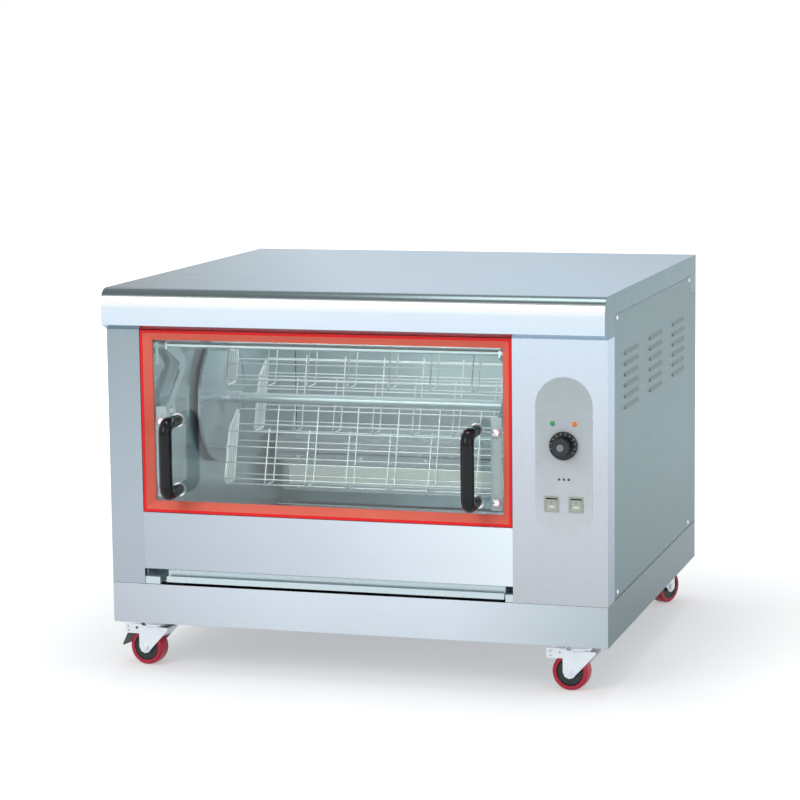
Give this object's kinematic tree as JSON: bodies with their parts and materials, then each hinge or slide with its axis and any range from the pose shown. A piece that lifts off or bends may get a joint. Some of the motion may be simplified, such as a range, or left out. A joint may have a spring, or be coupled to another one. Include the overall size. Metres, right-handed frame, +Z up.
{
  "type": "rotisserie oven",
  "caption": "Floor-standing gas rotisserie oven with a top-hung glass door, hanging wire baskets on a turning rotor, a pull-out drip tray and braked casters.",
  "frame": {"origin": "on the floor under the middle of the bounding box", "axes": "+X towards the operator's right (longest extent), +Y to the back, +Z up"},
  "size_m": [1.0486, 1.0384, 0.7925],
  "materials": {
    "stainless": "brushed stainless sheet",
    "polished": "mirror-polished stainless sheet",
    "chrome_wire": "chromed steel wire and fasteners",
    "zinc": "bright zinc plate",
    "coral": "coral-red coated frame with a glossy red lip",
    "beige_plastic": "beige switch moulding",
    "glass": "clear tempered glass",
    "black_plastic": "gloss black",
    "label_gray": "plain gray overlay",
    "lamp_lens": "green and amber lenses",
    "ceramic": "pale perforated ceramic",
    "wheel_red": "red polyurethane tread on a dark rim",
    "dark_steel": "dark painted steel",
    "motor_gray": "painted gear motor",
    "brass": "brass fitting",
    "copper": "copper pipe"
  },
  "bodies": {
    "cabinet": {"base_plinth": "stainless", "left_post": "stainless", "control_panel": "stainless", "top_cover": "stainless", "side_panel_right": "stainless", "side_panel_left": "stainless", "rear_posts": "stainless", "rear_panel": "stainless", "lower_front_plate": "stainless", "liner_left": "polished", "liner_right": "polished", "liner_back": "polished", "tray_runners": "stainless", "hinge_bosses": "zinc", "shaft_bearings": "motor_gray", "gear_motor": "motor_gray", "burner_housing": "stainless", "burner_frame": "stainless", "ceramic_plates": "ceramic", "burner_hood": "stainless", "burner_screws": "chrome_wire", "burner_electrodes": "chrome_wire", "gas_thermostat": "brass", "gas_pipes": "copper", "gas_inlet": "brass", "cable_gland": "black_plastic", "label_plate": "label_gray", "pilot_lamps": "lamp_lens", "status_leds": "lamp_lens", "switch_bodies": "beige_plastic", "panel_screws": "chrome_wire", "caster_plates": "zinc"},
    "door": {"door_frame": "coral", "door_glass": "glass", "door_handles": "black_plastic", "door_fasteners": "chrome_wire", "door_brackets": "zinc", "hinge_arms": "zinc", "hinge_tube": "chrome_wire"},
    "rotor": {"disc_left": "polished", "disc_right": "polished", "rotor_shaft": "chrome_wire", "disc_hubs": "zinc"},
    "basket_a": {"basket_1": "chrome_wire"},
    "basket_b": {"basket_2": "chrome_wire"},
    "basket_c": {"basket_3": "chrome_wire"},
    "tray": {"drip_tray": "stainless"},
    "knob": {"thermostat_knob": "black_plastic"},
    "motor_switch": {"rocker_left": "beige_plastic"},
    "light_switch": {"rocker_right": "beige_plastic"},
    "caster_front_left": {"fork_front_left": "zinc"},
    "caster_front_right": {"fork_front_right": "zinc"},
    "caster_rear_left": {"fork_rear_left": "zinc"},
    "caster_rear_right": {"fork_rear_right": "zinc"},
    "wheel_fl": {"wheel_front_left": "wheel_red"},
    "wheel_fr": {"wheel_front_right": "wheel_red"},
    "wheel_rl": {"wheel_rear_left": "wheel_red"},
    "wheel_rr": {"wheel_rear_right": "wheel_red"},
    "brake": {"brake_pedal": "dark_steel"}
  },
  "joints": [
    {"name": "door_hinge", "type": "hinge", "parent": "cabinet", "child": "door", "pos_m": [0, -0.38575, 0.671], "axis": [-1, 0, 0], "range_deg": [0, 60]},
    {"name": "tray_slide", "type": "slide", "parent": "cabinet", "child": "tray", "axis": [0, -1, 0], "range_m": [0, 0.45]},
    {"name": "rotor_spin", "type": "hinge", "parent": "cabinet", "child": "rotor", "pos_m": [-0.055, -0.05775, 0.518], "axis": [1, 0, 0], "continuous": true},
    {"name": "basket_a_swing", "type": "hinge", "parent": "rotor", "child": "basket_a", "pos_m": [-0.055, -0.10737, 0.62945], "axis": [1, 0, 0], "continuous": true},
    {"name": "basket_b_swing", "type": "hinge", "parent": "rotor", "child": "basket_b", "pos_m": [-0.055, -0.12946, 0.4193], "axis": [1, 0, 0], "continuous": true},
    {"name": "basket_c_swing", "type": "hinge", "parent": "rotor", "child": "basket_c", "pos_m": [-0.055, 0.06358, 0.50525], "axis": [1, 0, 0], "continuous": true},
    {"name": "knob_turn", "type": "hinge", "parent": "cabinet", "child": "knob", "pos_m": [0.4325, -0.44575, 0.5], "axis": [0, -1, 0], "range_deg": [0, 270]},
    {"name": "motor_switch_rock", "type": "hinge", "parent": "cabinet", "child": "motor_switch", "pos_m": [0.408, -0.44275, 0.384], "axis": [-1, 0, 0], "range_deg": [0, 16]},
    {"name": "light_switch_rock", "type": "hinge", "parent": "cabinet", "child": "light_switch", "pos_m": [0.457, -0.44275, 0.384], "axis": [-1, 0, 0], "range_deg": [0, 16]},
    {"name": "swivel_front_left", "type": "hinge", "parent": "cabinet", "child": "caster_front_left", "pos_m": [-0.451, -0.38675, 0.088], "axis": [0, 0, 1], "continuous": true},
    {"name": "swivel_front_right", "type": "hinge", "parent": "cabinet", "child": "caster_front_right", "pos_m": [0.451, -0.38675, 0.088], "axis": [0, 0, 1], "continuous": true},
    {"name": "swivel_rear_left", "type": "hinge", "parent": "cabinet", "child": "caster_rear_left", "pos_m": [-0.451, 0.43525, 0.088], "axis": [0, 0, 1], "continuous": true},
    {"name": "swivel_rear_right", "type": "hinge", "parent": "cabinet", "child": "caster_rear_right", "pos_m": [0.451, 0.43525, 0.088], "axis": [0, 0, 1], "continuous": true},
    {"name": "roll_front_left", "type": "hinge", "parent": "caster_front_left", "child": "wheel_fl", "pos_m": [-0.46779, -0.38409, 0.0375], "axis": [-0.1564, -0.9877, 0], "continuous": true},
    {"name": "roll_front_right", "type": "hinge", "parent": "caster_front_right", "child": "wheel_fr", "pos_m": [0.43406, -0.38527, 0.0375], "axis": [-0.0872, -0.9962, 0], "continuous": true},
    {"name": "roll_rear_left", "type": "hinge", "parent": "caster_rear_left", "child": "wheel_rl", "pos_m": [-0.45395, 0.45199, 0.0375], "axis": [-0.9848, -0.1736, 0], "continuous": true},
    {"name": "roll_rear_right", "type": "hinge", "parent": "caster_rear_right", "child": "wheel_rr", "pos_m": [0.45819, 0.45066, 0.0375], "axis": [-0.9063, 0.4226, 0], "continuous": true},
    {"name": "brake_release", "type": "hinge", "parent": "caster_front_left", "child": "brake", "pos_m": [-0.48557, -0.38127, 0.078], "axis": [0.1564, 0.9877, 0], "range_deg": [0, 18]}
  ],
  "couplings": [
    {"joint": "basket_a_swing", "follows": "rotor_spin", "ratio": -1},
    {"joint": "basket_b_swing", "follows": "rotor_spin", "ratio": -1},
    {"joint": "basket_c_swing", "follows": "rotor_spin", "ratio": -1}
  ]
}
